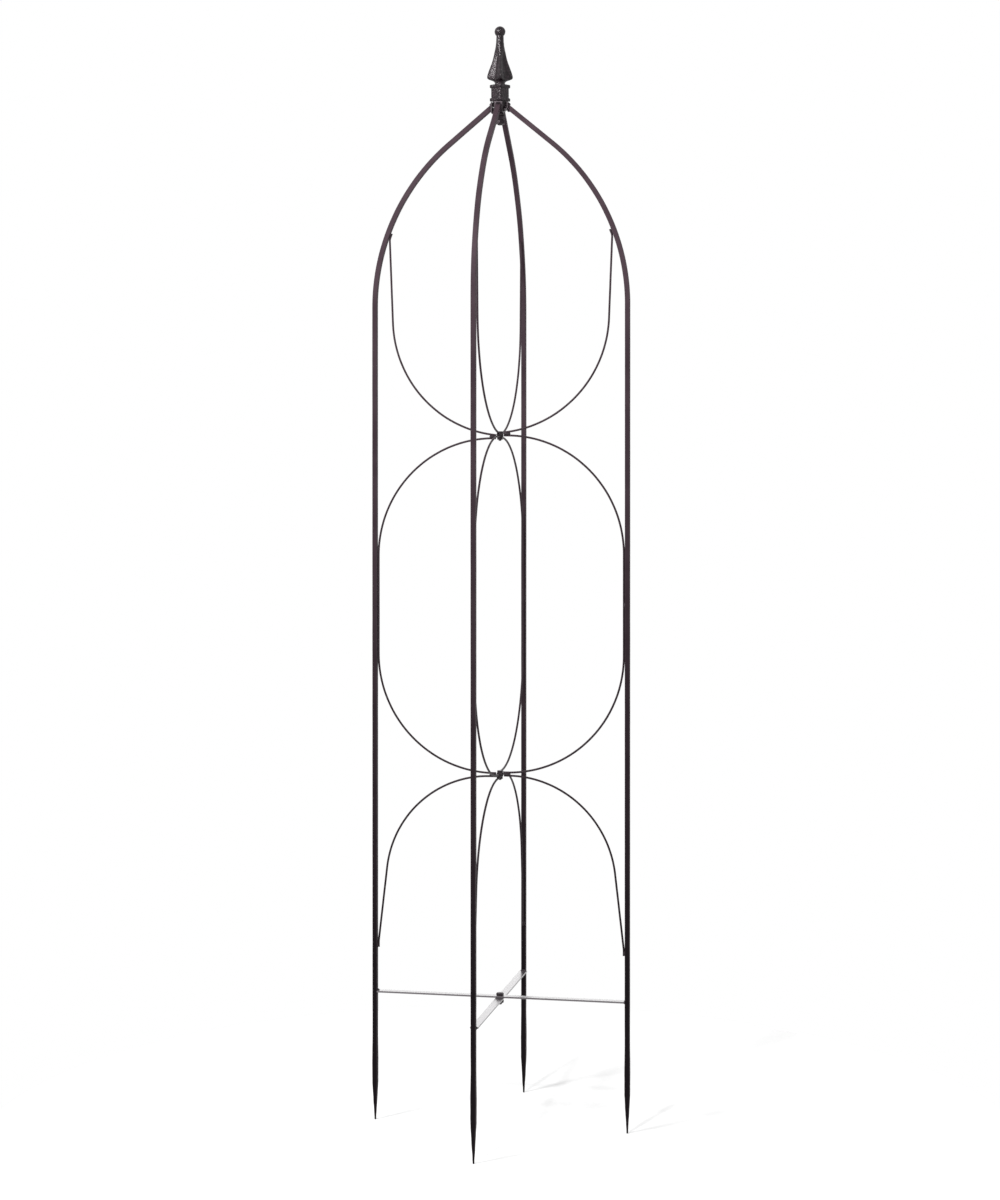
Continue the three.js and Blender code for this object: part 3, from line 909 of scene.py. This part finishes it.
FINIAL_TURN = math.radians(-76)
FINIAL_RISE = 113.5 * MM  # from the collar's top to the top of the ball
BORE_DEPTH = 0.02
COLLAR_HEIGHT = 32.2 * MM
COLLAR_BODY = 12.7 * MM
COLLAR_FLANGE = 14.75 * MM
FLANGE_HEIGHT = 6.4 * MM
SPIGOT = 13.8 * MM
SPIGOT_END = 9 * MM
SPIGOT_TAPER = 5 * MM
BALL = 10.6 * MM
NECK = 7 * MM
FLARE = 24.8 * MM
FOOT = 10 * MM
LOBE_DEPTH = 0.46
LOBE_GROWS = (3 * MM, 13 * MM)
LOBE_FADES = (42 * MM, 86 * MM)
SQUARENESS = 14  # exponent of the collar's rounded square
LUMP_DEPTH = 0.00016
SAND_DEPTH = 0.00007


def smooth_step(value, low, high):
    part = min(1.0, max(0.0, (value - low) / (high - low)))
    return part * part * (3 - 2 * part)


def smooth_curve(points, per_span):
    """A Catmull-Rom curve through (radius, height) points."""
    extended = [points[0], *points, points[-1]]
    curve = []
    for a, b, c, d in zip(extended, extended[1:], extended[2:], extended[3:]):
        for i in range(per_span):
            t = i / per_span
            curve.append(tuple(
                0.5 * (2 * q + (r - p) * t + (2 * p - 5 * q + 4 * r - s) * t * t
                       + (3 * q - p - 3 * r + s) * t ** 3)
                for p, q, r, s in zip(a, b, c, d)
            ))
    return [*curve, points[-1]]


def finial_levels(bottom, top):
    """(height, (kind, radius)) from the spigot's end to the top of the ball."""
    collar_top = top - FINIAL_RISE
    collar_bottom = collar_top - COLLAR_HEIGHT
    edge = 1.2 * MM
    lip = 0.0005
    levels = [(bottom + BORE_DEPTH, ("round", STUD_HOLE)), (bottom, ("round", STUD_HOLE))]
    levels += [(bottom, ("round", SPIGOT_END)), (bottom + SPIGOT_TAPER, ("round", SPIGOT))]
    levels += [(collar_bottom, ("round", SPIGOT))]

    def flange(low):
        rows = [(low, COLLAR_FLANGE - edge - lip), (low, COLLAR_FLANGE - edge)]
        for i in range(1, 5):
            angle = i / 4 * math.pi / 2
            inset = edge * (1 - math.sin(angle))
            rows.append((low + edge * (1 - math.cos(angle)), COLLAR_FLANGE - inset))
        high = low + FLANGE_HEIGHT
        for i in range(5):
            angle = i / 4 * math.pi / 2
            inset = edge * (1 - math.cos(angle))
            rows.append((high - edge * (1 - math.sin(angle)), COLLAR_FLANGE - inset))
        return [*rows, (high, COLLAR_FLANGE - edge - lip)]

    square = flange(collar_bottom)
    body_low, body_high = collar_bottom + FLANGE_HEIGHT, collar_top - FLANGE_HEIGHT
    fillet = 0.5 * MM
    square += [(body_low, COLLAR_BODY + fillet), (body_low + fillet, COLLAR_BODY)]
    square += [(body_low + (body_high - body_low) * i / 10, COLLAR_BODY) for i in range(1, 10)]
    square += [(body_high - fillet, COLLAR_BODY), (body_high, COLLAR_BODY + fillet)]
    square += flange(collar_top - FLANGE_HEIGHT)
    levels += [(height, ("square", radius)) for height, radius in square]

    ball_centre = top - BALL
    ball_start = math.asin(NECK / BALL)
    outline = [
        (FOOT + 0.0006, 0.0), (FOOT, 0.0008), (FOOT, 3.4 * MM), (12.6 * MM, 6.6 * MM),
        (FLARE - 2.6 * MM, 10.4 * MM), (FLARE, 14.2 * MM), (FLARE - 1.8 * MM, 23 * MM),
        (14.5 * MM, 46.8 * MM), (8.4 * MM, 75 * MM),
        (NECK, ball_centre - BALL * math.cos(ball_start) - collar_top),
    ]
    levels += [(collar_top + h, ("lobed", r)) for r, h in smooth_curve(outline, 10)]
    for i in range(1, 25):
        angle = ball_start + (math.pi - ball_start) * i / 24
        radius = max(BALL * math.sin(angle), 0.0001)
        levels.append((ball_centre - BALL * math.cos(angle), ("lobed", radius)))
    return levels, collar_top


def make_finial():
    low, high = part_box("finial")
    levels, collar_top = finial_levels(low.z, high.z)

    def radius_at(key, height, angle):
        kind, radius = key
        if kind == "square":
            turn = angle - math.pi / 4
            corner = abs(math.cos(turn)) ** SQUARENESS + abs(math.sin(turn)) ** SQUARENESS
            return radius * corner ** (-1 / SQUARENESS)
        if kind == "lobed":
            rise = height - collar_top
            grown = smooth_step(rise, *LOBE_GROWS)
            faded = 1 - smooth_step(rise, *LOBE_FADES)
            valley = (1 - math.cos(4 * angle)) / 2
            return radius * (1 - LOBE_DEPTH * grown * faded * math.sqrt(valley))
        return radius

    vertices, faces = turned(levels, radius_at, even_angles(128), closed=False)
    rotation = Matrix.Rotation(FINIAL_TURN, 3, "Z")
    shaped = []
    for v in vertices:
        out = Vector((v.x, v.y, 0))
        if out.length > 1e-6:
            out.normalize()
        lumps = noise.fractal(v * 130, 0.6, 2.1, 3) * LUMP_DEPTH
        sand = noise.noise(v * 900) * SAND_DEPTH
        shaped.append(rotation @ (v + out * (lumps + sand)))
    new_piece("finial_casting", shaped, faces, finial_coat, "finial")


make_finial()


# ------------------------------------------------------------------ floor, light and camera

FLOOR_RADIUS = 1.0

# Fitted to straight edges, tips and knots in the photo.
CAMERA_DISTANCE = 4.525
CAMERA_AZIMUTH = math.radians(11.25)
CAMERA_HEIGHT = 1.2845
CAMERA_DIP = 0.37  # degrees below level
CAMERA_LENS = 70.0
CAMERA_SHIFT = -0.10


def make_floor():
    """A pale disc. It ends before the horizon, so that the white world is all the background."""
    count = 96
    rim = [Vector((FLOOR_RADIUS * math.cos(a), FLOOR_RADIUS * math.sin(a), 0)) for a in even_angles(count)]
    mesh = bpy.data.meshes.new("floor")
    mesh.from_pydata([tuple(v) for v in rim], [], [tuple(range(count))])
    floor = bpy.data.objects.new("floor", mesh)
    bpy.context.collection.objects.link(floor)
    material, nodes, links, shader = node_material("pale_floor")
    place = nodes.new("ShaderNodeTexCoord").outputs["Object"]
    drift = noise_texture(nodes, links, place, 2, 2)
    tone = ramp(nodes, links, drift, [(0.3, (0.72, 0.72, 0.72)), (0.7, (0.73, 0.73, 0.73))])
    links.new(tone, shader.inputs["Base Color"])
    shader.inputs["Roughness"].default_value = 1.0
    shader.inputs["Specular IOR Level"].default_value = 0.0
    floor.data.materials.append(material)


def area_light(name, place, target, size, power):
    light = bpy.data.lights.new(name, "AREA")
    light.shape = "DISK"
    light.size = size
    light.energy = power
    lamp = bpy.data.objects.new(name, light)
    bpy.context.collection.objects.link(lamp)
    lamp.location = place
    lamp.rotation_euler = (Vector(target) - Vector(place)).to_track_quat("-Z", "Y").to_euler()


def make_lights():
    world = bpy.data.worlds.new("studio")
    bpy.context.scene.world = world
    world.use_nodes = True
    background = world.node_tree.nodes["Background"]
    background.inputs["Color"].default_value = (1, 1, 1, 1)
    background.inputs["Strength"].default_value = 1.0
    area_light("key", (-1.9, -2.2, 3.3), (0, 0, 1.5), 0.7, 110)
    area_light("front", (-0.7, -3.4, 3.0), (0, 0, 1.7), 0.3, 85)
    area_light("back_panel", (-1.2, 5.6, 2.0), (0, 0, 0.8), 3.2, 25)


def make_camera():
    """In front, a little to the right of the front leg, and a little lower than the upper knot."""
    camera = bpy.data.objects.new("camera", bpy.data.cameras.new("camera"))
    bpy.context.collection.objects.link(camera)
    camera.location = (
        CAMERA_DISTANCE * math.sin(CAMERA_AZIMUTH),
        -CAMERA_DISTANCE * math.cos(CAMERA_AZIMUTH),
        CAMERA_HEIGHT,
    )
    camera.rotation_euler = (math.radians(90 - CAMERA_DIP), 0, CAMERA_AZIMUTH)
    camera.data.lens = CAMERA_LENS
    camera.data.shift_y = CAMERA_SHIFT
    bpy.context.scene.camera = camera


make_floor()
make_lights()
make_camera()
bpy.context.scene.view_settings.view_transform = "Standard"
